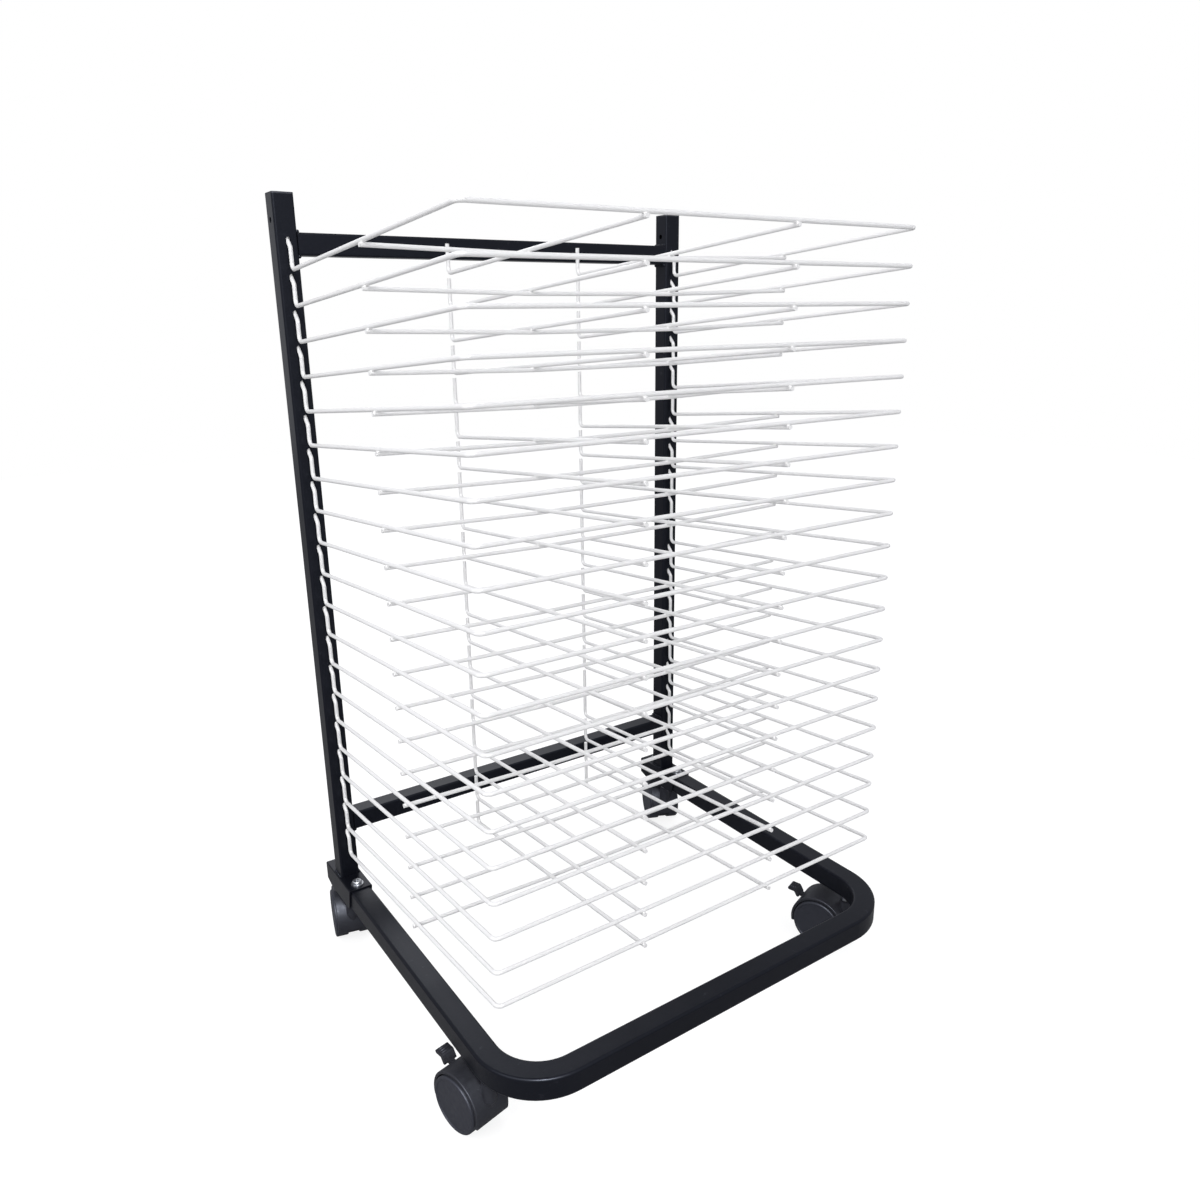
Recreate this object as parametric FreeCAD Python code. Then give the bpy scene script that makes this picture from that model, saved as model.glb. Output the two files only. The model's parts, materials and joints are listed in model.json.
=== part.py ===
import FreeCAD, Part

import math
import os

from FreeCAD import Vector

# Art drying rack: a welded frame of square tube on a U-shaped base with four
# twin-wheel casters, and wire shelves that hook into slots in the two posts.
# Lengths are in millimetres. +X is the rack's right, -Y its open front, +Z up.
# The origin is on the floor under the middle of the whole footprint.

# ---------------------------------------------------------------- main sizes
post_spacing = 422.0            # centre to centre
post_length = 660.5             # foot to the cap on top, cap included
base_front_y = -206.0           # outer face of the base's front bar
base_length = 399.0             # front bar's outer face to the open rear ends
post_setback = 40.0             # posts' front face to those rear ends
caster_height = 62.0            # floor to the underside of the base tube

# Frame tube, for the posts and the two rails
frame_tube = 19.0
frame_wall = 1.2
frame_corner = 2.0              # outside corner radius
top_rail_drop = 41.3            # post top to the rail's centre
lower_rail_rise = 60.2          # post foot to the rail's centre
weld_leg = 2.2                  # leg of the fillet weld at a rail's end

# Base tube, bent in one piece
base_tube = 21.0
base_wall = 1.5
base_corner = 2.5
base_bend = 51.0                # centreline radius of the two front bends

# Saddles, the channels under the posts that straddle the base tube
saddle_length = 68.5
saddle_sheet = 1.5
saddle_gap = 0.1                # side play between the tube and each flange
saddle_flange = 21.3            # flange depth below the plate
saddle_front_rake = 5.0         # how far each flange's front edge leans back
saddle_clip_length = 12.0       # clipped rear corner of each flange
saddle_clip_height = 4.0
saddle_bend = 1.0               # outside radius where plate meets flange

# Allowances of the modelling itself
cut_past = 1.0                  # how far a hole's tool runs past a face
touch = 0.01                    # two heights closer than this are one
mostly = 0.9                    # share of a direction that counts as along it

# Screws that hold the saddles down, with washers and nuts
screw_d = 5.0
screw_hole_play = 0.4           # hole diameter over screw diameter
screw_head_d = 9.5
screw_head_h = 3.2
screw_head_edge = 1.4           # rounding of the pan head
screw_drive_w = 1.1             # cross recess
screw_drive_l = 4.6
screw_drive_depth = 1.6
screw_grip = 12.0               # shank below the washer
washer_d = 12.5
washer_h = 1.0
nut_across_flats = 8.0
nut_h = 4.0
front_screw_inset = 9.7         # saddle's front edge to the first screw
rear_screw_inset = 14.0         # saddle's rear edge to the second screw

# Plastic plugs in the post tops and in the base's rear ends
plug_head = 1.5
plug_edge = 0.5                 # rounding of the head
plug_corner = 0.5               # inside corner radius of the shank
plug_depth = 7.0
plug_wall = 1.4
plug_play = 0.08
post_hole_d = 5.0               # cross hole near each post's top
post_hole_drop = 22.1

# Wire shelves
shelf_count = 20
first_slot_drop = 39.9          # post top to the first slot's centre
last_slot_rise = 50.6           # post foot to the last slot's centre
wire_d = 3.6
side_wire_inset = 1.0           # side wires inside the posts' centre lines
inner_spacing = 142.8           # inner wire to inner wire
shelf_reach = 321.1             # posts' front face to the front wire
shelf_slope = 4.74              # degrees, rising to the front
leg_standoff = 4.0              # posts' front face to the leg's centre
leg_height = 22.9               # rear bend to the slot's centre
hook_angle = 45.0               # degrees, the hook's way through the slot
hook_tail = 8.0                 # upright end inside the post
tail_play = 0.10                # between the tail and the post's inner face
finger_setback = 22.0           # posts' front face to the inner wires' fingers
finger_height = 24.0            # rear bend to the top of a finger
cross_setback = 169.4           # posts' front face to the cross wire
front_stub = 3.5                # inner wires' ends past the front wire
side_stub = 3.0                 # cross wire's ends past the side wires
weld_bite = 0.3                 # how far welded wires sink into each other
corner_bend = 5.0               # front corners, centreline radius
small_bend = 5.0                # rear, finger and hook bends
sag_bend = 300.0                # shallow bends of the cross wire
slot_play = 0.7                 # slot width over wire diameter
slot_height = 8.0

# Casters
rear_stem_setback = 5.4         # posts' front face to the rear stems
front_stem_turn = 1.6           # degrees into the front bend
caster_trail = 23.8             # stem axis to axle
wheel_d = 50.0
wheel_width = 13.2
wheel_edge = 1.6                # rounding of the tread's edges
wheel_disc = 2.2                # outer disc thickness
wheel_rim = 2.6                 # rim wall thickness
wheel_rim_land = 2.4            # raised rim around the outer disc
wheel_dish = 0.8                # depth of the disc below that rim
wheel_hub_d = 11.0
web_width = 10.0                # caster body between its two wheels
web_floor_gap = 1.5             # from the web's edge up to the tread's level
wheel_side_play = 0.5
pocket_play = 1.1               # between tread and hood
hood_wall = 2.6
hood_side_setback = 2.1         # wheels' outer faces past the hood's edges
hood_edge = 0.8                 # rounding along the hood's side edges
hood_front_height = 17.7        # floor to the hood's leading lip
hood_rear_height = 19.1         # floor to its trailing lip
axle_d = 6.0
axle_play = 0.05
axle_in_wheel = 10.5
stem_pin_d = 6.5
stem_pin_length = 12.0
stem_collar_d = 9.0             # bare shank between boss and tube
stem_collar_h = 8.0
stem_collar_gap = 0.3
boss_d = 13.6                   # stem boss where it is widest
boss_height = 36.0              # floor to that place
boss_top_d = 11.0
boss_foot_d = 5.0
boss_foot_height = 24.0
stem_thread_d = 8.0
stem_thread_length = 12.0
insert_d = 11.0
insert_flange_d = 15.0
insert_flange_h = 0.8
insert_length = 13.0

# Brake levers of the two front casters
lever_arm_width = 5.0
lever_slot_play = 0.6
lever_pin_d = 3.0
lever_hub_d = 6.0
lever_pin_radius = 17.0         # axle to the lever's pin
lever_pin_angle = 62.0          # degrees above the axle's level, as the next two
lever_root_radius = 32.2        # axle to where the pedal starts
lever_root_angle = 34.0
lever_knee_radius = 37.6        # axle to the pedal's bend
lever_knee_angle = 37.8
lever_tip_radius = 43.2         # axle to the pedal's tip
lever_tip_angle = 33.0
lever_thick = 3.6
lever_pedal_width = 12.0
lever_travel = 14.0             # degrees the pedal goes down

# Which way each caster trails at rest, in degrees about its stem
caster_turn = {
    "front_left": 11.9,
    "front_right": 20.4,
    "rear_left": -13.0,
    "rear_right": -24.0,
}

# ------------------------------------------------------------- worked out
post_x = post_spacing / 2.0
base_rear_y = base_front_y + base_length
post_y = base_rear_y - post_setback               # posts' front face
base_bottom_z = caster_height
base_top_z = base_bottom_z + base_tube
post_foot_z = base_top_z + saddle_sheet
post_top_z = post_foot_z + post_length
post_centre_y = post_y + frame_tube / 2.0
top_rail_z = post_top_z - top_rail_drop
lower_rail_z = post_foot_z + lower_rail_rise
slot_run = post_length - first_slot_drop - last_slot_rise
shelf_pitch = slot_run / (shelf_count - 1)
side_wire_x = post_x - side_wire_inset
wire_r = wire_d / 2.0
saddle_rear_y = base_rear_y
saddle_front_y = saddle_rear_y - saddle_length
screw_rows_y = (saddle_front_y + front_screw_inset, saddle_rear_y - rear_screw_inset)
wheel_r = wheel_d / 2.0
pocket_r = wheel_r + pocket_play
hood_r = pocket_r + hood_wall
caster_half_width = web_width / 2.0 + wheel_side_play + wheel_width
hood_half_width = caster_half_width - hood_side_setback
boss_top_z = caster_height - stem_collar_h - stem_collar_gap

X = Vector(1, 0, 0)
Y = Vector(0, 1, 0)
Z = Vector(0, 0, 1)
ORIGIN = Vector(0, 0, 0)


# ---------------------------------------------------------------- helpers
def box(low, high):
    """A box between its lowest and highest corners."""
    size = high.sub(low)
    return Part.makeBox(size.x, size.y, size.z, low)


def rounded_square(side, radius):
    """A closed wire, a square with rounded corners, about the origin in XY."""
    half = side / 2.0
    solid = box(Vector(-half, -half, 0), Vector(half, half, 1))
    if radius > 0:
        upright = [e for e in solid.Edges if abs(e.tangentAt(0).z) > mostly]
        solid = solid.makeFillet(radius, upright)
    bottom = min(solid.Faces, key=lambda f: f.CenterOfMass.z)
    return bottom.OuterWire


def tube_section(side, wall, corner):
    """The ring-shaped face of a square tube, about the origin in XY."""
    outer = rounded_square(side, corner)
    inner = rounded_square(side - 2.0 * wall, max(corner - wall, 0.0))
    return Part.Face(outer).cut(Part.Face(inner)).Faces[0]


def placed(shape, point, turn_axis=Z, degrees=0.0):
    """A copy turned about an axis through the origin, then moved to a point."""
    copy = shape.copy()
    copy.Placement = FreeCAD.Placement(point, FreeCAD.Rotation(turn_axis, degrees))
    return copy


def joined(shapes):
    """One shape from several that touch or overlap."""
    return shapes[0].multiFuse(shapes[1:]).removeSplitter()


def rod(points, bends, radius):
    """A round wire along points, with one bend radius for each inner point."""
    start = points[0]
    heading = points[1].sub(points[0]).normalize()
    ring = Part.makeCircle(radius, start, heading)
    faces = [Part.Face(Part.Wire(ring))]
    for here, ahead, bend in zip(points[1:-1], points[2:], bends):
        turned = ahead.sub(here).normalize()
        angle = heading.getAngle(turned)
        setback = bend * math.tan(angle / 2.0)
        corner_in = here.sub(heading * setback)
        faces.append(ring.extrude(corner_in.sub(start)))
        ring = ring.translated(corner_in.sub(start))
        axis = heading.cross(turned).normalize()
        centre = corner_in.add(axis.cross(heading) * bend)
        faces.append(ring.revolve(centre, axis, math.degrees(angle)))
        ring = ring.rotated(centre, axis, math.degrees(angle))
        start = here.add(turned * setback)
        heading = turned
    faces.append(ring.extrude(points[-1].sub(start)))
    ring = ring.translated(points[-1].sub(start))
    faces.append(Part.Face(Part.Wire(ring)))
    shell = Part.Shell(faces)
    shell.sewShape()
    solid = Part.makeSolid(shell)
    if solid.Volume < 0:
        solid.reverse()
    return solid


def save(name, shape):
    """Write one sub-part."""
    shape.exportStep(os.path.join("parts", name + ".step"))


# ------------------------------------------------------------------ frame
def post(side):
    """A post: square tube with a slot for each shelf and a cross hole on top."""
    section = tube_section(frame_tube, frame_wall, frame_corner)
    length = post_length - plug_head
    tube = section.extrude(Z * length)
    tube.translate(Vector(side * post_x, post_centre_y, post_foot_z))
    cutters = [slot_cutter(side, k) for k in range(shelf_count)]
    hole_z = post_top_z - post_hole_drop
    hole_start = Vector(side * post_x - frame_tube, post_centre_y, hole_z)
    cutters.append(Part.makeCylinder(post_hole_d / 2.0, 2.0 * frame_tube, hole_start, X))
    return tube.cut(cutters)


def slot_z(k):
    """Height of a shelf's slots, counted from the top."""
    return post_top_z - first_slot_drop - k * shelf_pitch


def slot_cutter(side, k):
    """The round-ended slot that a shelf's hook passes through."""
    width = wire_d + slot_play
    reach = 2.0 * frame_wall
    straight = slot_height - width
    middle = Vector(side * side_wire_x, post_y - frame_wall / 2.0, slot_z(k))
    half = Vector(width / 2.0, 0, straight / 2.0)
    ends = [
        Part.makeCylinder(width / 2.0, reach, middle.add(Z * (s * straight / 2.0)), Y)
        for s in (-1, 1)
    ]
    return joined([box(middle.sub(half), middle.add(half).add(Y * reach))] + ends)


def rail(centre_z):
    """A rail between the posts, with its fillet welds."""
    length = post_spacing - frame_tube
    section = tube_section(frame_tube, frame_wall, frame_corner)
    tube = section.extrude(Z * length)
    tube.rotate(ORIGIN, Y, 90)
    tube.translate(Vector(-length / 2.0, post_centre_y, centre_z))
    return joined([tube] + rail_welds(-1, centre_z) + rail_welds(1, centre_z))


def rail_welds(side, centre_z):
    """The two beads in the corners between a rail's end and a post."""
    corner_x = side * (post_x - frame_tube / 2.0)
    half_depth = frame_tube / 2.0 - frame_corner
    beads = []
    for up in (-1, 1):
        rail_face_z = centre_z + up * frame_tube / 2.0
        corner = Vector(corner_x, post_centre_y - half_depth, rail_face_z)
        along = corner.sub(X * (side * weld_leg))
        above = corner.add(Z * (up * weld_leg))
        root = corner.sub(Z * (up * frame_wall / 2.0))
        root_along = along.sub(Z * (up * frame_wall / 2.0))
        outline = Part.makePolygon([root, root_along, along, above, root])
        beads.append(Part.Face(outline).extrude(Y * (2.0 * half_depth)))
    return beads


def plug(tube_side, wall, corner):
    """A push-in plug: a flat head and a hollow square shank, head upwards."""
    head = Part.Face(rounded_square(tube_side, corner)).extrude(Z * plug_head)
    top_edges = [e for e in head.Edges if e.BoundBox.ZMin > plug_head - touch]
    head = head.makeFillet(plug_edge, top_edges)
    shank_side = tube_side - 2.0 * (wall + plug_play)
    inside = shank_side - 2.0 * plug_wall
    shank_corner = max(corner - wall, plug_corner)
    shank = Part.Face(rounded_square(shank_side, shank_corner)).extrude(Z * -plug_depth)
    hollow = Part.Face(rounded_square(inside, plug_corner)).extrude(Z * -plug_depth)
    return joined([head, shank.cut(hollow)])


def post_caps():
    """The caps on the two posts."""
    cap = plug(frame_tube, frame_wall, frame_corner)
    seat_z = post_top_z - plug_head
    return Part.makeCompound(
        [placed(cap, Vector(s * post_x, post_centre_y, seat_z)) for s in (-1, 1)]
    )


def base_plugs():
    """The plugs in the base's two rear ends."""
    end = plug(base_tube, base_wall, base_corner)
    middle_z = base_bottom_z + base_tube / 2.0
    seat_y = base_rear_y - plug_head
    return Part.makeCompound(
        [placed(end, Vector(s * post_x, seat_y, middle_z), X, -90) for s in (-1, 1)]
    )


def saddle(side):
    """An inverted channel that carries a post and straddles the base tube."""
    half_inner = base_tube / 2.0 + saddle_gap
    half_outer = half_inner + saddle_sheet
    bottom_z = post_foot_z - saddle_sheet - saddle_flange
    outline = [
        (-half_outer, bottom_z),
        (-half_outer, post_foot_z),
        (half_outer, post_foot_z),
        (half_outer, bottom_z),
        (half_inner, bottom_z),
        (half_inner, base_top_z),
        (-half_inner, base_top_z),
        (-half_inner, bottom_z),
    ]
    corners = [Vector(side * post_x + x, saddle_front_y, z) for x, z in outline]
    channel = Part.Face(Part.makePolygon(corners + corners[:1])).extrude(Y * saddle_length)
    folds = [
        e for e in channel.Edges
        if abs(e.tangentAt(0).y) > mostly and e.BoundBox.ZMin > post_foot_z - touch
    ]
    channel = channel.makeFillet(saddle_bend, folds)
    rake = flange_wedge(
        side,
        (saddle_front_y, base_top_z),
        (saddle_front_y, bottom_z),
        (saddle_front_y + saddle_front_rake, bottom_z),
    )
    clip = flange_wedge(
        side,
        (saddle_rear_y, bottom_z + saddle_clip_height),
        (saddle_rear_y, bottom_z),
        (saddle_rear_y - saddle_clip_length, bottom_z),
    )
    return channel.cut([rake, clip] + [screw_hole(side, y) for y in screw_rows_y])


def flange_wedge(side, *corners):
    """A prism across a saddle, from corners given as y and z, to trim its flanges."""
    half_outer = base_tube / 2.0 + saddle_gap + saddle_sheet
    points = [Vector(side * post_x - half_outer, y, z) for y, z in corners]
    return Part.Face(Part.makePolygon(points + points[:1])).extrude(X * (2.0 * half_outer))


def screw_hole(side, y):
    """Clearance hole through a saddle's plate and the tube's top wall."""
    radius = (screw_d + screw_hole_play) / 2.0
    depth = saddle_sheet + base_wall + 2.0 * cut_past
    start = Vector(side * post_x, y, post_foot_z - depth + cut_past)
    return Part.makeCylinder(radius, depth, start, Z)


def screw():
    """A pan-head screw with its washer, seated on the plane Z = 0."""
    washer = Part.makeCylinder(washer_d / 2.0, washer_h)
    head = Part.makeCylinder(screw_head_d / 2.0, screw_head_h, Z * washer_h)
    rim = [e for e in head.Edges if e.BoundBox.ZMin > washer_h + screw_head_h - touch]
    head = head.makeFillet(screw_head_edge, rim)
    shank = Part.makeCylinder(screw_d / 2.0, screw_grip + washer_h, Z * -screw_grip)
    drive_top = washer_h + screw_head_h
    drive = []
    for along, across in ((screw_drive_l, screw_drive_w), (screw_drive_w, screw_drive_l)):
        low = Vector(-along / 2.0, -across / 2.0, drive_top - screw_drive_depth)
        drive.append(box(low, Vector(along / 2.0, across / 2.0, drive_top + cut_past)))
    return joined([washer, head, shank]).cut(drive)


def nut():
    """A hexagon nut under the plane Z = 0, its hole larger than the screw."""
    circumradius = nut_across_flats / math.sqrt(3.0)
    corners = [
        Vector(circumradius * math.cos(a), circumradius * math.sin(a), -nut_h)
        for a in (math.radians(60.0 * i) for i in range(7))
    ]
    body = Part.Face(Part.makePolygon(corners)).extrude(Z * nut_h)
    bore_r = (screw_d + screw_hole_play / 2.0) / 2.0
    return body.cut(Part.makeCylinder(bore_r, nut_h, Z * -nut_h))


def at_screws(shape, z):
    """Copies of a fastener at the four saddle screws."""
    spots = [Vector(s * post_x, y, z) for s in (-1, 1) for y in screw_rows_y]
    return Part.makeCompound([placed(shape, spot) for spot in spots])


# ------------------------------------------------------------------- base
def base_frame():
    """The U of square tube, open to the rear, with its screw and stem holes."""
    middle_z = base_bottom_z + base_tube / 2.0
    arc_y = base_front_y + base_tube / 2.0 + base_bend
    arc_x = post_x - base_bend
    section = tube_section(base_tube, base_wall, base_corner)
    section.rotate(ORIGIN, X, -90)
    pieces = []
    for side in (-1, 1):
        end = section.translated(Vector(side * post_x, arc_y, middle_z))
        pieces.append(end.extrude(Y * (base_rear_y - plug_head - arc_y)))
        pieces.append(end.revolve(Vector(side * arc_x, arc_y, middle_z), Z, -90.0 * side))
    bar = section.rotated(ORIGIN, Z, 90)
    bar.translate(Vector(-arc_x, base_front_y + base_tube / 2.0, middle_z))
    pieces.append(bar.extrude(X * (2.0 * arc_x)))
    holes = [screw_hole(s, y) for s in (-1, 1) for y in screw_rows_y]
    hole_r = insert_d / 2.0 + plug_play
    for stem in stem_places().values():
        holes.append(Part.makeCylinder(hole_r, 2.0 * base_wall, stem.sub(Z * base_wall)))
    return joined(pieces).cut(holes)


def stem_places():
    """Where each caster stem meets the underside of the base."""
    turn = math.radians(front_stem_turn)
    front_x = post_x - base_bend + base_bend * math.cos(turn)
    front_y = base_front_y + base_tube / 2.0 + base_bend * (1.0 - math.sin(turn))
    rear_y = post_y + rear_stem_setback
    return {
        "front_left": Vector(-front_x, front_y, base_bottom_z),
        "front_right": Vector(front_x, front_y, base_bottom_z),
        "rear_left": Vector(-post_x, rear_y, base_bottom_z),
        "rear_right": Vector(post_x, rear_y, base_bottom_z),
    }


# ---------------------------------------------------------------- casters
# A caster is built about its stem axis: its axle along X, trailing to +Y.
def caster_stem():
    """The steel stem: threaded end up, collar under the tube, swivel pin."""
    collar_z = caster_height - stem_collar_h
    thread = Part.makeCylinder(stem_thread_d / 2.0, stem_thread_length, Z * caster_height)
    collar = Part.makeCylinder(stem_collar_d / 2.0, stem_collar_h, Z * collar_z)
    pin = Part.makeCylinder(stem_pin_d / 2.0, stem_pin_length, Z * (collar_z - stem_pin_length))
    return joined([thread, collar, pin])


def caster_insert():
    """The bush in the tube's bottom wall that takes a stem."""
    top_flange_z = caster_height + base_wall
    body = Part.makeCylinder(insert_d / 2.0, insert_length, Z * caster_height)
    flange = Part.makeCylinder(insert_flange_d / 2.0, insert_flange_h, Z * top_flange_z)
    bore = Part.makeCylinder(stem_thread_d / 2.0 + axle_play, insert_length, Z * caster_height)
    return joined([body, flange]).cut(bore)


def axle_point(x=0.0):
    """A point on the axle's line."""
    return Vector(x, caster_trail, wheel_r)


def from_axle(radius, degrees, x=0.0):
    """A point about the axle, at an angle above the trailing side."""
    turn = math.radians(degrees)
    return axle_point(x).add(Vector(0, radius * math.cos(turn), radius * math.sin(turn)))


def drum(radius, half_width):
    """A cylinder on the axle's line, the same way out on both sides."""
    return Part.makeCylinder(radius, 2.0 * half_width, axle_point(-half_width), X)


def lip_reach(height):
    """How far in front of or behind the axle the hood's surface is at a height."""
    return math.sqrt(hood_r ** 2 - (wheel_r - height) ** 2)


def below_hood():
    """The space under the plane through the hood's two lips."""
    far = 2.0 * hood_r
    lead = Vector(-far, caster_trail - lip_reach(hood_front_height), hood_front_height)
    trail = Vector(-far, caster_trail + lip_reach(hood_rear_height), hood_rear_height)
    beyond = trail.sub(lead)
    front = lead.sub(beyond)
    back = trail.add(beyond)
    corners = [front, back, back.sub(Z * far), front.sub(Z * far)]
    return Part.Face(Part.makePolygon(corners + corners[:1])).extrude(X * (2.0 * far))


def stem_boss():
    """The boss on the hood's front that the stem's pin turns in."""
    widest = boss_d / 2.0
    foot_h = boss_height - boss_foot_height
    neck_h = boss_top_z - boss_height
    foot = Part.makeCone(boss_foot_d / 2.0, widest, foot_h, Z * boss_foot_height)
    neck = Part.makeCone(widest, boss_top_d / 2.0, neck_h, Z * boss_height)
    return joined([foot, neck])


def caster_body(has_brake):
    """The hood over both wheels with its middle web and stem boss."""
    hood = drum(hood_r, hood_half_width)
    rims = [e for e in hood.Edges if edge_radius(e) > 0]
    hood = hood.makeFillet(hood_edge, rims)
    pockets = [
        Part.makeCylinder(pocket_r, 2.0 * hood_r, axle_point(s * web_width / 2.0), X * s)
        for s in (-1, 1)
    ]
    shell = joined([hood, stem_boss()]).cut(pockets + [below_hood()])
    body = joined([shell, drum(wheel_r - web_floor_gap, web_width / 2.0)])
    bore_bottom = boss_top_z - stem_pin_length
    pin_bore_r = stem_pin_d / 2.0 + axle_play
    cutters = [
        drum(axle_d / 2.0 + axle_play, web_width),
        Part.makeCylinder(pin_bore_r, stem_pin_length + cut_past, Z * bore_bottom),
    ]
    if has_brake:
        cutters.append(lever_slot(lever_arm_width))
        cutters.append(lever_slot(lever_pedal_width).cut(drum(pocket_r, hood_r)))
        cutters.append(lever_pin())
    return body.cut(cutters)


def lever_places(x=0.0):
    """The lever's pin, then the pedal's root, bend and tip."""
    return (
        from_axle(lever_pin_radius, lever_pin_angle, x),
        from_axle(lever_root_radius, lever_root_angle, x),
        from_axle(lever_knee_radius, lever_knee_angle, x),
        from_axle(lever_tip_radius, lever_tip_angle, x),
    )


def lever_slot(width):
    """The space that a width of the lever sweeps, from its pin outwards."""
    half = (width + lever_slot_play) / 2.0
    gap = (lever_thick + lever_slot_play) / 2.0
    pin, root, _, _ = lever_places(-half)
    raised = root.sub(pin).normalize()
    lowered = FreeCAD.Rotation(X, -lever_travel).multVec(raised)
    over = X.cross(raised) * gap
    under = X.cross(lowered) * -gap
    reach = 2.0 * hood_r
    corners = [
        pin.add(over),
        pin.add(raised * reach).add(over),
        pin.add(lowered * reach).add(under),
        pin.add(under),
    ]
    sweep = Part.Face(Part.makePolygon(corners + corners[:1])).extrude(X * (2.0 * half))
    hub_r = (lever_hub_d + lever_slot_play) / 2.0
    return joined([sweep, Part.makeCylinder(hub_r, 2.0 * half, pin, X)])


def lever():
    """The brake lever: an arm in the web's slot and a bent pedal behind the hood."""
    half_arm = lever_arm_width / 2.0
    half_pedal = lever_pedal_width / 2.0
    pin, root, knee, tip = lever_places()
    arm = bar(pin, root, lever_thick, half_arm)
    hub = Part.makeCylinder(lever_hub_d / 2.0, lever_arm_width, pin.sub(X * half_arm), X)
    rise = bar(root, knee, lever_thick, half_pedal)
    pedal = bar(knee, tip, lever_thick, half_pedal)
    bore_r = lever_pin_d / 2.0 + axle_play
    bore = Part.makeCylinder(bore_r, lever_arm_width, pin.sub(X * half_arm), X)
    return joined([arm, hub, rise, pedal]).cut(bore)


def bar(start, end, thick, half_width):
    """A flat bar between two points in the trailing plane, with round ends."""
    along = end.sub(start).normalize()
    side = X.cross(along) * (thick / 2.0)
    wide = X * half_width
    corners = [start.add(side), end.add(side), end.sub(side), start.sub(side)]
    flat = Part.makePolygon([c.sub(wide) for c in corners + corners[:1]])
    pieces = [Part.Face(flat).extrude(wide * 2.0)]
    for point in (start, end):
        pieces.append(Part.makeCylinder(thick / 2.0, 2.0 * half_width, point.sub(wide), X))
    return joined(pieces)


def lever_pin():
    """The pin that a brake lever turns on, held in the web."""
    pin = from_axle(lever_pin_radius, lever_pin_angle, -web_width / 2.0)
    return Part.makeCylinder(lever_pin_d / 2.0, web_width, pin, X)


def axle():
    """The axle through the web into both wheels."""
    return drum(axle_d / 2.0, web_width / 2.0 + wheel_side_play + axle_in_wheel)


def wheel(side):
    """A hollow wheel: tread and rim, dished outer disc and blind hub."""
    inner = web_width / 2.0 + wheel_side_play
    outer = caster_half_width
    hub_r = wheel_hub_d / 2.0
    bore_r = axle_d / 2.0 + axle_play
    bore_end = inner + axle_in_wheel + axle_play
    disc = outer - wheel_dish - wheel_disc
    land_r = wheel_r - wheel_rim_land
    profile = [
        (inner, bore_r),
        (inner, hub_r),
        (disc, hub_r),
        (disc, wheel_r - wheel_rim),
        (inner, wheel_r - wheel_rim),
        (inner, wheel_r),
        (outer, wheel_r),
        (outer, land_r),
        (outer - wheel_dish, land_r - wheel_dish),
        (outer - wheel_dish, 0.0),
        (bore_end, 0.0),
        (bore_end, bore_r),
    ]
    points = [axle_point(side * x).add(Y * r) for x, r in profile]
    turned = Part.Face(Part.makePolygon(points + points[:1])).revolve(axle_point(), X, 360)
    tread = [e for e in turned.Edges if edge_radius(e) > wheel_r - touch]
    return turned.makeFillet(wheel_edge, tread)


def edge_radius(edge):
    """The radius of a round edge, or zero."""
    is_round = edge.Curve.TypeId == "Part::GeomCircle"
    return edge.Curve.Radius if is_round else 0.0


def save_casters():
    """Every caster's pieces, turned and moved to where each caster stands."""
    stems = []
    inserts = []
    for place, foot in stem_places().items():
        spot = Vector(foot.x, foot.y, 0)
        turn = caster_turn[place]
        front = place.startswith("front")
        stems.append(placed(caster_stem(), spot))
        inserts.append(placed(caster_insert(), spot))
        save("caster_body_" + place, placed(caster_body(front), spot, Z, turn))
        save("caster_axle_" + place, placed(axle(), spot, Z, turn))
        save("caster_wheel_a_" + place, placed(wheel(-1), spot, Z, turn))
        save("caster_wheel_b_" + place, placed(wheel(1), spot, Z, turn))
        if front:
            save("brake_lever_" + place, placed(lever(), spot, Z, turn))
            save("brake_pin_" + place, placed(lever_pin(), spot, Z, turn))
    save("caster_stems", Part.makeCompound(stems))
    save("caster_inserts", Part.makeCompound(inserts))


# ---------------------------------------------------------------- shelves
# A shelf's points are given from the posts' front face and its own rear bend.
def on_shelf(x, setback, above=0.0):
    """A point on the sloping shelf, a setback in front of the posts."""
    slope = math.radians(shelf_slope)
    forward = setback - leg_standoff
    lift = forward * math.tan(slope) + above / math.cos(slope)
    return Vector(x, -setback, lift)


def side_and_front_wire():
    """The outer wire: hook, leg, side, front, side, leg and hook in one bend."""
    rise = math.tan(math.radians(hook_angle))
    wall_middle = frame_wall / 2.0
    tail_y = frame_wall + wire_r + tail_play
    tail_z = leg_height + (tail_y - wall_middle) * rise
    way = [
        Vector(0, tail_y, tail_z + hook_tail),
        Vector(0, tail_y, tail_z),
        Vector(0, -leg_standoff, leg_height - (leg_standoff + wall_middle) * rise),
        on_shelf(0, leg_standoff),
        on_shelf(0, shelf_reach),
    ]
    left = [p.sub(X * side_wire_x) for p in way]
    right = [p.add(X * side_wire_x) for p in reversed(way)]
    bends = [small_bend] * 3
    return rod(left + right, bends + [corner_bend] * 2 + bends, wire_r)


def inner_wire(side):
    """A wire under the front wire, with a finger turned up at the rear."""
    x = side * inner_spacing / 2.0
    under = weld_bite - wire_d
    path = [
        on_shelf(x, shelf_reach + front_stub, under),
        on_shelf(x, finger_setback, under),
        Vector(x, -finger_setback, finger_height),
    ]
    return rod(path, [small_bend], wire_r)


def cross_wire():
    """The wire across the middle, under the side wires and the inner ones."""
    inner = inner_spacing / 2.0
    high = weld_bite - wire_d
    low = 2.0 * high
    steepness = (high - low) / (side_wire_x - inner)
    end_x = side_wire_x + side_stub
    path = [
        on_shelf(-end_x, cross_setback, high + side_stub * steepness),
        on_shelf(-inner, cross_setback, low),
        on_shelf(inner, cross_setback, low),
        on_shelf(end_x, cross_setback, high + side_stub * steepness),
    ]
    return rod(path, [sag_bend] * 2, wire_r)


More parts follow.
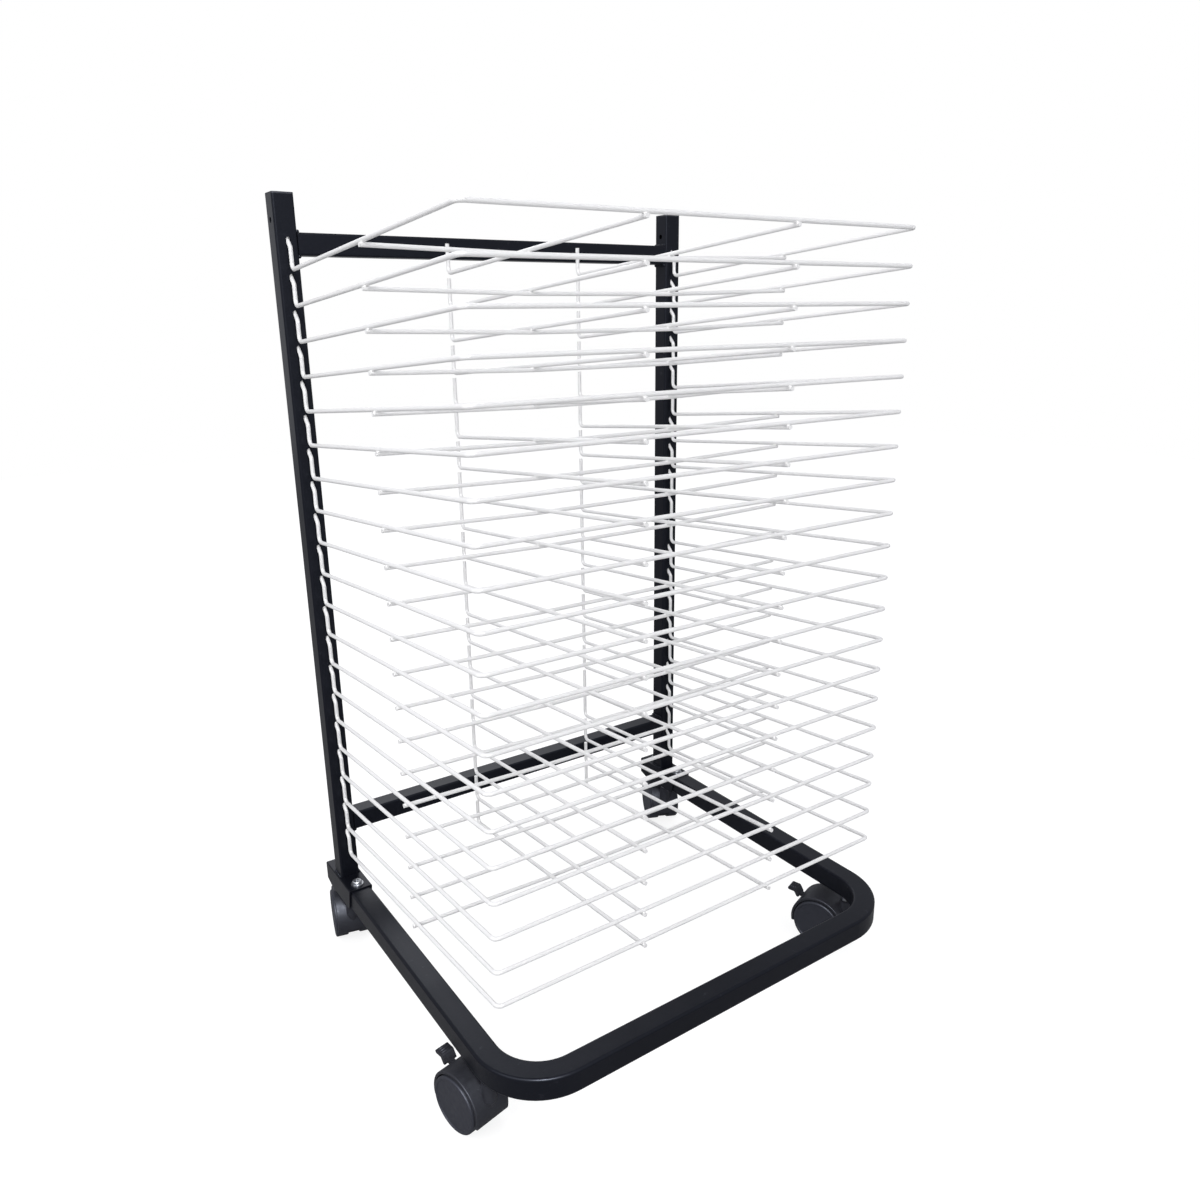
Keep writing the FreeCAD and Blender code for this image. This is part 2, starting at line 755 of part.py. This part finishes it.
def shelf():
    """One welded wire shelf, about its rear bend and the posts' front face."""
    wires = [side_and_front_wire(), inner_wire(-1), inner_wire(1), cross_wire()]
    return wires[0].multiFuse(wires[1:])


def save_shelves():
    """All the shelves, counted from the top."""
    model = shelf()
    for k in range(shelf_count):
        spot = Vector(0, post_y, slot_z(k) - leg_height)
        save("shelf_%02d" % (k + 1), placed(model, spot))


def main():
    """Write every sub-part."""
    os.makedirs("parts", exist_ok=True)
    save("post_left", post(-1))
    save("post_right", post(1))
    save("rail_top", rail(top_rail_z))
    save("rail_lower", rail(lower_rail_z))
    save("post_caps", post_caps())
    save("saddle_left", saddle(-1))
    save("saddle_right", saddle(1))
    save("base_frame", base_frame())
    save("base_end_plugs", base_plugs())
    save("saddle_screws", at_screws(screw(), post_foot_z))
    save("saddle_nuts", at_screws(nut(), base_top_z - base_wall))
    save_casters()
    save_shelves()


main()
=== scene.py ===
"""Looks of the art drying rack: its finishes, its welds and the studio it stands in."""

import json
import logging
import math
from dataclasses import dataclass, field
from enum import Enum

import bmesh
import bpy
from mathutils import Matrix, Vector


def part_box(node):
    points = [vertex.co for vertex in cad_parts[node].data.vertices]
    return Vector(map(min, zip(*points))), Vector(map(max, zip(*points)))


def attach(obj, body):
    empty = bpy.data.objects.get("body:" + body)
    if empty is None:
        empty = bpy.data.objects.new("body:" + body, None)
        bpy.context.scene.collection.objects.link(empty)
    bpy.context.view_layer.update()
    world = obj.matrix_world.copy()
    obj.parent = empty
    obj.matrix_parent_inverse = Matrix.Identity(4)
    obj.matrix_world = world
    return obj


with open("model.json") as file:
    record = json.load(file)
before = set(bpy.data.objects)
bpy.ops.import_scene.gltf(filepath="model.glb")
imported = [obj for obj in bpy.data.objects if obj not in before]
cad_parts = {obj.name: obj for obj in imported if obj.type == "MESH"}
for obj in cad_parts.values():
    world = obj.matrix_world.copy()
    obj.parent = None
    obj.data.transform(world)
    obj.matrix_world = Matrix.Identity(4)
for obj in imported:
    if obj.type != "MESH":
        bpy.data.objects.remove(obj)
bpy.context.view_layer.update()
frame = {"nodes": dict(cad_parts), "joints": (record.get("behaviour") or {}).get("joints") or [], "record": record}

LOG = logging.getLogger("drying_rack")
WHITE = (1.0, 1.0, 1.0, 1.0)
NUGGET_SEGMENTS = 10
NUGGET_RINGS = 6
Triple = tuple[float, float, float]
Colour = Triple


class Slot(Enum):
    """The record's material slots."""

    FRAME = "frame_black"
    WIRE = "shelf_white"
    PLUG = "plug_black"
    HOOD = "hood_black"
    WHEEL = "wheel_black"
    LEVER = "lever_black"
    ZINC = "zinc_steel"


class Side(Enum):
    """The rack's left and right, as the sign of X."""

    LEFT = -1
    RIGHT = 1


# ---------------------------------------------------------------- finishes
class Sheet:
    """The node sheet of one material, written from top to bottom."""

    def __init__(self, name: str) -> None:
        """Start a sheet with a principled shader and object coordinates.

        Args:
            name: The material's name.
        """
        self.material = bpy.data.materials.new(name)
        self.material.use_nodes = True
        self.tree = self.material.node_tree
        self.shader = self.tree.nodes["Principled BSDF"]
        self.place = self.node("ShaderNodeTexCoord").outputs["Object"]

    def node(self, kind: str, **inputs: object) -> bpy.types.Node:
        """Add a node.

        Args:
            kind: The node's type name.
            **inputs: Values or output sockets by input name, with _ for a space.

        Returns:
            The new node.
        """
        made = self.tree.nodes.new(kind)
        for key, value in inputs.items():
            self.feed(made.inputs[key.replace("_", " ")], value)
        return made

    def feed(self, socket: bpy.types.NodeSocket, value: object) -> None:
        """Link an output to a socket, or set the socket's own value.

        Args:
            socket: The input socket.
            value: An output socket, or a plain value.
        """
        if isinstance(value, bpy.types.NodeSocket):
            self.tree.links.new(value, socket)
        else:
            socket.default_value = value

    def noise(self, scale: float, detail: float,
              stretch: Triple = (1.0, 1.0, 1.0)) -> bpy.types.NodeSocket:
        """Noise in object coordinates.

        Args:
            scale: Features per metre.
            detail: Octaves.
            stretch: Factors on the coordinates, for a grain.

        Returns:
            The noise's factor.
        """
        where = self.node("ShaderNodeMapping", Vector=self.place, Scale=stretch)
        made = self.node("ShaderNodeTexNoise", Vector=where.outputs[0], Scale=scale,
                         Detail=detail)
        return made.outputs["Fac"]

    def span(self, factor: bpy.types.NodeSocket, low: float, high: float,
             start: float = 0.3, end: float = 0.7) -> bpy.types.NodeSocket:
        """Stretch a factor to a range of values.

        Args:
            factor: What varies.
            low: The value where the factor is at its start.
            high: The value where the factor is at its end.
            start: The factor that gives the low value.
            end: The factor that gives the high value.

        Returns:
            The stretched value.
        """
        made = self.node("ShaderNodeMapRange", Value=factor, To_Min=low, To_Max=high,
                         From_Min=start, From_Max=end)
        return made.outputs[0]

    def blend(self, factor: bpy.types.NodeSocket, first: object,
              second: object) -> bpy.types.NodeSocket:
        """Mix two colours.

        Args:
            factor: The share of the second colour.
            first: A colour, or an output that gives one.
            second: A colour, or an output that gives one.

        Returns:
            The mixed colour.
        """
        made = self.tree.nodes.new("ShaderNodeMix")
        made.data_type = "RGBA"
        sockets = {s.identifier: s for s in made.inputs}
        self.feed(sockets["Factor_Float"], factor)
        for name, value in (("A_Color", first), ("B_Color", second)):
            is_tone = isinstance(value, tuple)
            self.feed(sockets[name], (*value, 1.0) if is_tone else value)
        return next(s for s in made.outputs if s.identifier == "Result_Color")

    def bump(self, height: bpy.types.NodeSocket, strength: float, depth: float,
             under: bpy.types.NodeSocket | None = None) -> bpy.types.NodeSocket:
        """Raise the surface by a height.

        Args:
            height: What varies.
            strength: The bump's strength.
            depth: Its depth in metres.
            under: A normal to lay it on.

        Returns:
            The bumped normal.
        """
        made = self.node("ShaderNodeBump", Height=height, Strength=strength,
                         Distance=depth)
        if under is not None:
            self.feed(made.inputs["Normal"], under)
        return made.outputs[0]

    def finish(self, **inputs: object) -> bpy.types.Material:
        """Set the shader's inputs.

        Args:
            **inputs: Values or output sockets by input name, with _ for a space.

        Returns:
            The finished material.
        """
        for key, value in inputs.items():
            self.feed(self.shader.inputs[key.replace("_", " ")], value)
        return self.material


@dataclass(frozen=True)
class PowderCoat:
    """Baked powder coat: an even colour with a fine orange peel and light scuffs."""

    name: str
    tone: Colour
    deep_tone: Colour
    scuff_tone: Colour
    roughness: float
    specular: float
    sheen_tone: Colour = (1.0, 1.0, 1.0)
    drift_scale: float = 9.0
    scuff_scale: float = 160.0
    scuff_share: float = 0.35
    scuff_start: float = 0.66
    scuff_end: float = 0.74
    speckle_scale: float = 1900.0
    smoother: float = 0.05
    rougher: float = 0.06
    peel_scale: float = 700.0
    peel_strength: float = 0.5
    peel_depth: float = 0.00006

    def make(self) -> bpy.types.Material:
        """Build the material.

        Returns:
            The powder coat.
        """
        sheet = Sheet(self.name)
        drift = sheet.noise(self.drift_scale, detail=2.0)
        colour = sheet.blend(sheet.span(drift, 0.0, 1.0), self.deep_tone, self.tone)
        scuffs = sheet.span(sheet.noise(self.scuff_scale, detail=6.0), 0.0,
                            self.scuff_share, self.scuff_start, self.scuff_end)
        colour = sheet.blend(scuffs, colour, self.scuff_tone)
        speckle = sheet.noise(self.speckle_scale, detail=1.0)
        rough = sheet.span(speckle, self.roughness - self.smoother,
                           self.roughness + self.rougher)
        peel = sheet.bump(sheet.noise(self.peel_scale, detail=2.0),
                          self.peel_strength, self.peel_depth)
        return sheet.finish(Base_Color=colour, Roughness=rough, Normal=peel,
                            Specular_IOR_Level=self.specular,
                            Specular_Tint=(*self.sheen_tone, 1.0))


@dataclass(frozen=True)
class MouldedPlastic:
    """Moulded plastic: a spark-eroded grain, faint flow marks and rubbed patches."""

    name: str
    tone: Colour
    rubbed_tone: Colour
    roughness: float
    specular: float = 0.4
    sheen_tone: Colour = (0.80, 0.85, 1.0)
    rubbed_scale: float = 45.0
    rubbed_share: float = 0.5
    rubbed_start: float = 0.45
    rubbed_end: float = 0.8
    patch_scale: float = 240.0
    smoother: float = 0.06
    rougher: float = 0.08
    flow_scale: float = 28.0
    flow_strength: float = 0.3
    flow_depth: float = 0.0002
    grain_scale: float = 2600.0
    grain_strength: float = 0.5
    grain_depth: float = 0.00005

    def make(self) -> bpy.types.Material:
        """Build the material.

        Returns:
            The plastic.
        """
        sheet = Sheet(self.name)
        rubbed = sheet.span(sheet.noise(self.rubbed_scale, detail=4.0), 0.0,
                            self.rubbed_share, self.rubbed_start, self.rubbed_end)
        colour = sheet.blend(rubbed, self.tone, self.rubbed_tone)
        rough = sheet.span(sheet.noise(self.patch_scale, detail=4.0),
                           self.roughness - self.smoother, self.roughness + self.rougher)
        flow = sheet.bump(sheet.noise(self.flow_scale, detail=1.0),
                          self.flow_strength, self.flow_depth)
        grain = sheet.bump(sheet.noise(self.grain_scale, detail=2.0),
                           self.grain_strength, self.grain_depth, flow)
        return sheet.finish(Base_Color=colour, Roughness=rough, Normal=grain,
                            Specular_IOR_Level=self.specular,
                            Specular_Tint=(*self.sheen_tone, 1.0))


@dataclass(frozen=True)
class ZincPlate:
    """Bright zinc plate on turned steel: fine lay marks and a cloudy sheen."""

    name: str
    tone: Colour
    cloudy_tone: Colour
    roughness: float
    cloud_scale: float = 420.0
    lay_scale: float = 300.0
    lay_stretch: Triple = (1.0, 1.0, 14.0)
    lay_strength: float = 0.3
    lay_depth: float = 0.00004
    smoother: float = 0.07
    rougher: float = 0.12

    def make(self) -> bpy.types.Material:
        """Build the material.

        Returns:
            The zinc plate.
        """
        sheet = Sheet(self.name)
        clouds = sheet.span(sheet.noise(self.cloud_scale, detail=4.0), 0.0, 1.0)
        colour = sheet.blend(clouds, self.tone, self.cloudy_tone)
        lay = sheet.noise(self.lay_scale, detail=3.0, stretch=self.lay_stretch)
        rough = sheet.span(lay, self.roughness - self.smoother,
                           self.roughness + self.rougher)
        return sheet.finish(Base_Color=colour, Roughness=rough, Metallic=1.0,
                            Normal=sheet.bump(lay, self.lay_strength, self.lay_depth))


Recipe = PowderCoat | MouldedPlastic | ZincPlate


@dataclass
class Finishes:
    """Every finish on the rack, by the record's slot."""

    recipes: dict[Slot, Recipe] = field(default_factory=lambda: {
        Slot.FRAME: PowderCoat(
            "satin_black_powder_coat", tone=(0.0060, 0.0066, 0.0102),
            deep_tone=(0.0048, 0.0053, 0.0083), scuff_tone=(0.028, 0.029, 0.037),
            roughness=0.34, specular=0.17, sheen_tone=(0.77, 0.83, 1.0)),
        Slot.WIRE: PowderCoat(
            "gloss_white_powder_coat", tone=(0.87, 0.865, 0.86),
            deep_tone=(0.84, 0.835, 0.83), scuff_tone=(0.70, 0.69, 0.68),
            roughness=0.34, specular=0.5, scuff_share=0.3,
            peel_scale=900.0, peel_depth=0.00005),
        Slot.PLUG: MouldedPlastic(
            "plug_plastic", tone=(0.018, 0.018, 0.021),
            rubbed_tone=(0.035, 0.035, 0.038), roughness=0.55),
        Slot.HOOD: MouldedPlastic(
            "hood_plastic", tone=(0.0200, 0.0204, 0.0252),
            rubbed_tone=(0.0240, 0.0244, 0.0300), roughness=0.48),
        Slot.WHEEL: MouldedPlastic(
            "wheel_plastic", tone=(0.025, 0.026, 0.034),
            rubbed_tone=(0.030, 0.031, 0.040), roughness=0.5),
        Slot.LEVER: MouldedPlastic(
            "lever_plastic", tone=(0.020, 0.020, 0.025),
            rubbed_tone=(0.034, 0.034, 0.038), roughness=0.5),
        Slot.ZINC: ZincPlate(
            "bright_zinc", tone=(0.46, 0.47, 0.49),
            cloudy_tone=(0.26, 0.27, 0.29), roughness=0.34),
    })
    made: dict[Slot, bpy.types.Material] = field(default_factory=dict)

    def of(self, slot: Slot) -> bpy.types.Material:
        """The material of a slot, made once.

        Args:
            slot: Which slot.

        Returns:
            Its material.
        """
        if slot not in self.made:
            self.made[slot] = self.recipes[slot].make()
        return self.made[slot]

    def dress_nodes(self) -> None:
        """Give every CAD node the finish of its own slot."""
        for part in frame["record"]["subparts"]:
            node = frame["nodes"][part["node"]]
            finish = self.of(Slot(part["material_slot"]))
            node.data.materials.clear()
            node.data.materials.append(finish)
            LOG.info("dressed %s in %s", node.name, finish.name)


# ------------------------------------------------------------ shared tools
def piece(name: str, mesh: bmesh.types.BMesh, body: str, slot: Slot,
          finishes: Finishes) -> None:
    """Turn a bmesh into a piece that rides on a body.

    Args:
        name: The piece's name.
        mesh: Its shape, in the rack's own frame.
        body: The body that it rides on.
        slot: The slot that its finish comes from.
        finishes: The finishes.
    """
    bmesh.ops.recalc_face_normals(mesh, faces=mesh.faces)
    data = bpy.data.meshes.new(name)
    mesh.to_mesh(data)
    mesh.free()
    data.shade_smooth()
    data.materials.append(finishes.of(slot))
    made = bpy.data.objects.new(name, data)
    bpy.context.scene.collection.objects.link(made)
    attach(made, body)
    LOG.info("made %s on %s", name, body)


def nugget(mesh: bmesh.types.BMesh, centre: Vector, radii: Vector,
           turn: Matrix = Matrix.Identity(4)) -> None:
    """Add one small nugget of weld metal, an ellipsoid.

    Args:
        mesh: Where it goes.
        centre: Its middle.
        radii: Its three radii.
        turn: Its rotation.
    """
    place = Matrix.Translation(centre) @ turn @ Matrix.Diagonal((*radii, 1.0))
    bmesh.ops.create_uvsphere(mesh, u_segments=NUGGET_SEGMENTS, v_segments=NUGGET_RINGS,
                              radius=1.0, matrix=place)


# ---------------------------------------------------------------- shelves
@dataclass
class Shelves:
    """The wire shelves: their finish comes with the nodes, their weld spots from here."""

    finishes: Finishes
    pitch: float = 0.030
    first_slot_drop: float = 0.0399
    leg_height: float = 0.0229
    leg_standoff: float = 0.004
    slope: float = math.radians(4.74)
    side_x: float = 0.210
    inner_x: float = 0.0714
    front: float = 0.3211
    cross: float = 0.1694
    wire_step: float = 0.0033
    spot_radii: Triple = (0.0021, 0.0021, 0.0011)

    def on_shelf(self, rear_bend_z: float, x: float, setback: float,
                 above: float) -> Vector:
        """A point on a sloping shelf.

        Args:
            rear_bend_z: The height of the shelf's rear bend.
            x: How far right.
            setback: How far in front of the posts.
            above: How far above the shelf's plane.

        Returns:
            The point.
        """
        rise = (setback - self.leg_standoff) * math.tan(self.slope)
        z = rear_bend_z + rise + above / math.cos(self.slope)
        return Vector((x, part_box("post_left")[0].y - setback, z))

    def weld_spots(self, rear_bend_z: float) -> list[Vector]:
        """Where a shelf's wires are welded to each other.

        Args:
            rear_bend_z: The height of the shelf's rear bend.

        Returns:
            The six spots.
        """
        # The joints lie under the outer wire and, one step lower, under the inner wires.
        upper = -self.wire_step * 0.5
        lower = -self.wire_step * 1.5
        spots = []
        for side in Side:
            inner = side.value * self.inner_x
            outer = side.value * self.side_x
            spots.append(self.on_shelf(rear_bend_z, inner, self.front, upper))
            spots.append(self.on_shelf(rear_bend_z, inner, self.cross, lower))
            spots.append(self.on_shelf(rear_bend_z, outer, self.cross, upper))
        return spots

    def make(self) -> None:
        """Make every shelf's weld spots."""
        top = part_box("post_caps")[1].z
        tilt = Matrix.Rotation(-self.slope, 4, "X")
        first_bend_z = top - self.first_slot_drop - self.leg_height
        names = sorted(name for name in frame["nodes"] if name.startswith("shelf_"))
        for number, name in enumerate(names):
            rear_bend_z = first_bend_z - number * self.pitch
            mesh = bmesh.new()
            for spot in self.weld_spots(rear_bend_z):
                nugget(mesh, spot, Vector(self.spot_radii), tilt)
            piece("weld_spots_" + name.removeprefix("shelf_"), mesh, name, Slot.WIRE,
                  self.finishes)


# ------------------------------------------------------------ frame welds
@dataclass
class FrameWelds:
    """The rippled weld beads that hold the rails and the posts' feet."""

    finishes: Finishes
    ripple_pitch: float = 0.0014
    bead_radius: float = 0.0016
    bead_sink: float = 0.45
    foot_radius: float = 0.0013
    foot_rise: float = 0.2
    ripple_flatness: float = 0.75
    corner_radius: float = 0.002

    def bead(self, mesh: bmesh.types.BMesh, start: Vector, end: Vector,
             radius: float) -> None:
        """Lay a bead of overlapping ripples.

        Args:
            mesh: Where it goes.
            start: Its first ripple.
            end: Its last ripple.
            radius: A ripple's radius.
        """
        steps = round((end - start).length / self.ripple_pitch)
        radii = Vector((radius, radius * self.ripple_flatness, radius))
        for step in range(steps + 1):
            nugget(mesh, start.lerp(end, step / steps), radii)

    def rail_beads(self, rail: str) -> bmesh.types.BMesh:
        """The four beads at a rail's ends.

        Args:
            rail: The rail's node.

        Returns:
            Their mesh.
        """
        mesh = bmesh.new()
        low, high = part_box(rail)
        sink = self.bead_radius * self.bead_sink
        front_y = low.y + self.corner_radius
        back_y = high.y - self.corner_radius
        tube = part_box("post_left")
        faces = ((tube[1].x, 1), (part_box("post_right")[0].x, -1))
        half = (tube[1].x - tube[0].x) / 2
        middle_z = (low.z + high.z) / 2
        for x, inward in faces:
            for up in (-1, 1):
                z = middle_z + up * (half + sink)
                start = Vector((x + inward * sink, front_y, z))
                end = Vector((start.x, back_y, z))
                self.bead(mesh, start, end, self.bead_radius)
        return mesh

    def foot_beads(self, post: str, saddle: str) -> bmesh.types.BMesh:
        """The two beads beside a post's foot.

        Args:
            post: The post's node.
            saddle: The node that carries it.

        Returns:
            Their mesh.
        """
        mesh = bmesh.new()
        low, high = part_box(post)
        clear = self.foot_radius * self.foot_rise
        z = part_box(saddle)[1].z + clear
        for x, outward in ((low.x, -1), (high.x, 1)):
            start = Vector((x + outward * clear, low.y + self.corner_radius, z))
            end = Vector((start.x, high.y - self.corner_radius, z))
            self.bead(mesh, start, end, self.foot_radius)
        return mesh

    def make(self) -> None:
        """Lay every bead."""
        for rail in ("rail_top", "rail_lower"):
            piece("beads_" + rail, self.rail_beads(rail), "frame", Slot.FRAME,
                  self.finishes)
        for side in ("left", "right"):
            beads = self.foot_beads("post_" + side, "saddle_" + side)
            piece("beads_foot_" + side, beads, "frame", Slot.FRAME, self.finishes)


# ----------------------------------------------------------- brake pedals
@dataclass
class PedalGrips:
    """The raised grip ribs on the two brake pedals."""

    finishes: Finishes
    knee: tuple[float, float] = (0.0217, 0.0080)
    tip: tuple[float, float] = (0.0283, 0.0085)
    half_thickness: float = 0.0018
    half_width: float = 0.0048
    rib_radius: float = 0.00055
    rib_segments: int = 12
    rib_shares: tuple[float, ...] = (0.15, 0.5, 0.85)

    def make(self) -> None:
        """Put the ribs on each pedal, from its joint's place and axis."""
        for joint in frame["joints"]:
            if joint["name"].startswith("brake_"):
                self.ribs(joint)

    def ribs(self, joint: dict) -> None:
        """Put the ribs on one pedal.

        Args:
            joint: The pedal's joint.
        """
        pin = Vector(joint["pos_m"])
        across = -Vector(joint["axis"]).normalized()
        trailing = Vector((-across.y, across.x, 0.0))
        upright = Vector((0.0, 0.0, 1.0))
        knee = pin + trailing * self.knee[0] + upright * self.knee[1]
        tip = pin + trailing * self.tip[0] + upright * self.tip[1]
        normal = across.cross((tip - knee).normalized())
        turn = across.to_track_quat("Z", "Y").to_matrix().to_4x4()
        mesh = bmesh.new()
        for share in self.rib_shares:
            middle = knee.lerp(tip, share) + normal * self.half_thickness
            bmesh.ops.create_cone(
                mesh, cap_ends=True, segments=self.rib_segments,
                radius1=self.rib_radius, radius2=self.rib_radius,
                depth=2 * self.half_width, matrix=Matrix.Translation(middle) @ turn,
            )
        body = joint["child"]
        piece("grip_ribs_" + body.removeprefix("brake_"), mesh, body, Slot.LEVER,
              self.finishes)


# ----------------------------------------------------------------- studio
@dataclass(frozen=True)
class SoftBox:
    """A square soft box, which can be kept out of matt or glossy light."""

    name: str
    place: Triple
    aim: Triple
    size: float
    power: float
    lights_matt: bool = True
    lights_gloss: bool = True

    def hang(self) -> None:
        """Hang the lamp and point it."""
        data = bpy.data.lights.new(self.name, "AREA")
        data.size = self.size
        data.energy = self.power
        made = bpy.data.objects.new(self.name, data)
        bpy.context.scene.collection.objects.link(made)
        towards = Vector(self.aim) - Vector(self.place)
        made.location = self.place
        made.rotation_euler = towards.to_track_quat("-Z", "Y").to_euler()
        made.visible_diffuse = self.lights_matt
        made.visible_glossy = self.lights_gloss


@dataclass
class Studio:
    """The floor, the lights and the camera."""

    floor_size: float = 4.0
    floor_tone: Colour = (0.34, 0.34, 0.34)
    shadow_share: float = 0.30
    floor_glow: float = 1.18
    world_tone: Colour = (0.79, 0.80, 0.84)
    world_level: float = 0.80
    soft_boxes: tuple[SoftBox, ...] = (
        SoftBox("left_soft_box", (-2.2, -0.5, 2.0), (0.0, 0.0, 0.35), 1.6, 30.0),
        SoftBox("back_soft_box", (0.7, 2.2, 1.9), (0.0, 0.0, 0.2), 1.4, 14.0),
        SoftBox("front_soft_box", (-0.8, -1.5, 1.8), (0.0, -0.1, 0.1), 0.3, 130.0,
                lights_matt=False),
        SoftBox("front_fill", (-0.9, -2.2, 1.0), (0.0, 0.0, 0.4), 1.6, 20.0,
                lights_gloss=False),
    )
    lens: float = 28.354
    sensor: float = 36.0
    clip_start: float = 0.02
    camera_xy: tuple[float, float] = (-0.4816, -0.7080)
    camera_over_base: float = 0.5599
    yaw: float = math.radians(-34.449)
    pitch: float = math.radians(-16.828)
    roll: float = math.radians(-0.667)

    def floor(self) -> None:
        """Lay the floor: white to the camera, pale to other light, softly shadowed."""
        mesh = bmesh.new()
        bmesh.ops.create_grid(mesh, x_segments=1, y_segments=1, size=self.floor_size)
        data = bpy.data.meshes.new("floor")
        mesh.to_mesh(data)
        mesh.free()
        made = bpy.data.objects.new("floor", data)
        bpy.context.scene.collection.objects.link(made)
        data.materials.append(self.floor_finish())

    def floor_finish(self) -> bpy.types.Material:
        """The floor's material.

        Returns:
            The material.
        """
        sheet = Sheet("studio_floor")
        nodes = sheet.tree.nodes
        nodes.remove(sheet.shader)
        pale = sheet.node("ShaderNodeBsdfDiffuse", Color=(*self.floor_tone, 1.0))
        shaded = sheet.node("ShaderNodeBsdfDiffuse", Color=WHITE)
        glow = sheet.node("ShaderNodeEmission", Color=WHITE, Strength=self.floor_glow)
        shown = self.mixed(sheet, self.shadow_share, glow.outputs[0], shaded.outputs[0])
        ray = sheet.node("ShaderNodeLightPath").outputs["Is Camera Ray"]
        surface = self.mixed(sheet, ray, pale.outputs[0], shown)
        sheet.feed(nodes["Material Output"].inputs["Surface"], surface)
        return sheet.material

    def mixed(self, sheet: Sheet, share: object, first: bpy.types.NodeSocket,
              second: bpy.types.NodeSocket) -> bpy.types.NodeSocket:
        """Mix two shaders.

        Args:
            sheet: Where the nodes go.
            share: The share of the second, a number or an output.
            first: One shader.
            second: The other shader.

        Returns:
            The mixed shader.
        """
        made = sheet.tree.nodes.new("ShaderNodeMixShader")
        for socket, value in zip(made.inputs, (share, first, second)):
            sheet.feed(socket, value)
        return made.outputs[0]

    def world(self) -> None:
        """Surround the rack with even light, white where the camera looks."""
        made = bpy.data.worlds.new("studio_world")
        bpy.context.scene.world = made
        made.use_nodes = True
        tree = made.node_tree
        tree.nodes.clear()
        even = tree.nodes.new("ShaderNodeBackground")
        even.inputs["Color"].default_value = (*self.world_tone, 1.0)
        even.inputs["Strength"].default_value = self.world_level
        white = tree.nodes.new("ShaderNodeBackground")
        white.inputs["Color"].default_value = WHITE
        mix = tree.nodes.new("ShaderNodeMixShader")
        ray = tree.nodes.new("ShaderNodeLightPath")
        output = tree.nodes.new("ShaderNodeOutputWorld")
        tree.links.new(ray.outputs["Is Camera Ray"], mix.inputs[0])
        tree.links.new(even.outputs[0], mix.inputs[1])
        tree.links.new(white.outputs[0], mix.inputs[2])
        tree.links.new(mix.outputs[0], output.inputs["Surface"])

    def camera(self) -> None:
        """Set the camera up."""
        data = bpy.data.cameras.new("camera")
        data.lens = self.lens
        data.sensor_width = self.sensor
        data.clip_start = self.clip_start
        made = bpy.data.objects.new("camera", data)
        bpy.context.scene.collection.objects.link(made)
        forward = Vector((
            -math.sin(self.yaw) * math.cos(self.pitch),
            math.cos(self.yaw) * math.cos(self.pitch),
            math.sin(self.pitch),
        ))
        level = Vector((math.cos(self.yaw), math.sin(self.yaw), 0.0))
        upward = level.cross(forward)
        right = level * math.cos(self.roll) + upward * math.sin(self.roll)
        up = upward * math.cos(self.roll) - level * math.sin(self.roll)
        turn = Matrix((right, up, -forward)).transposed().to_4x4()
        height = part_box("base_frame")[1].z + self.camera_over_base
        made.matrix_world = Matrix.Translation((*self.camera_xy, height)) @ turn
        bpy.context.scene.camera = made

    def make(self) -> None:
        """Set the studio up."""
        bpy.context.scene.view_settings.view_transform = "Standard"
        self.floor()
        self.world()
        for soft_box in self.soft_boxes:
            soft_box.hang()
        self.camera()
        LOG.info("set the studio up")


def main() -> None:
    """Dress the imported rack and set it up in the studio."""
    logging.basicConfig(level=logging.INFO)
    Studio().make()
    finishes = Finishes()
    finishes.dress_nodes()
    Shelves(finishes).make()
    FrameWelds(finishes).make()
    PedalGrips(finishes).make()


if __name__ == "__main__":
    main()
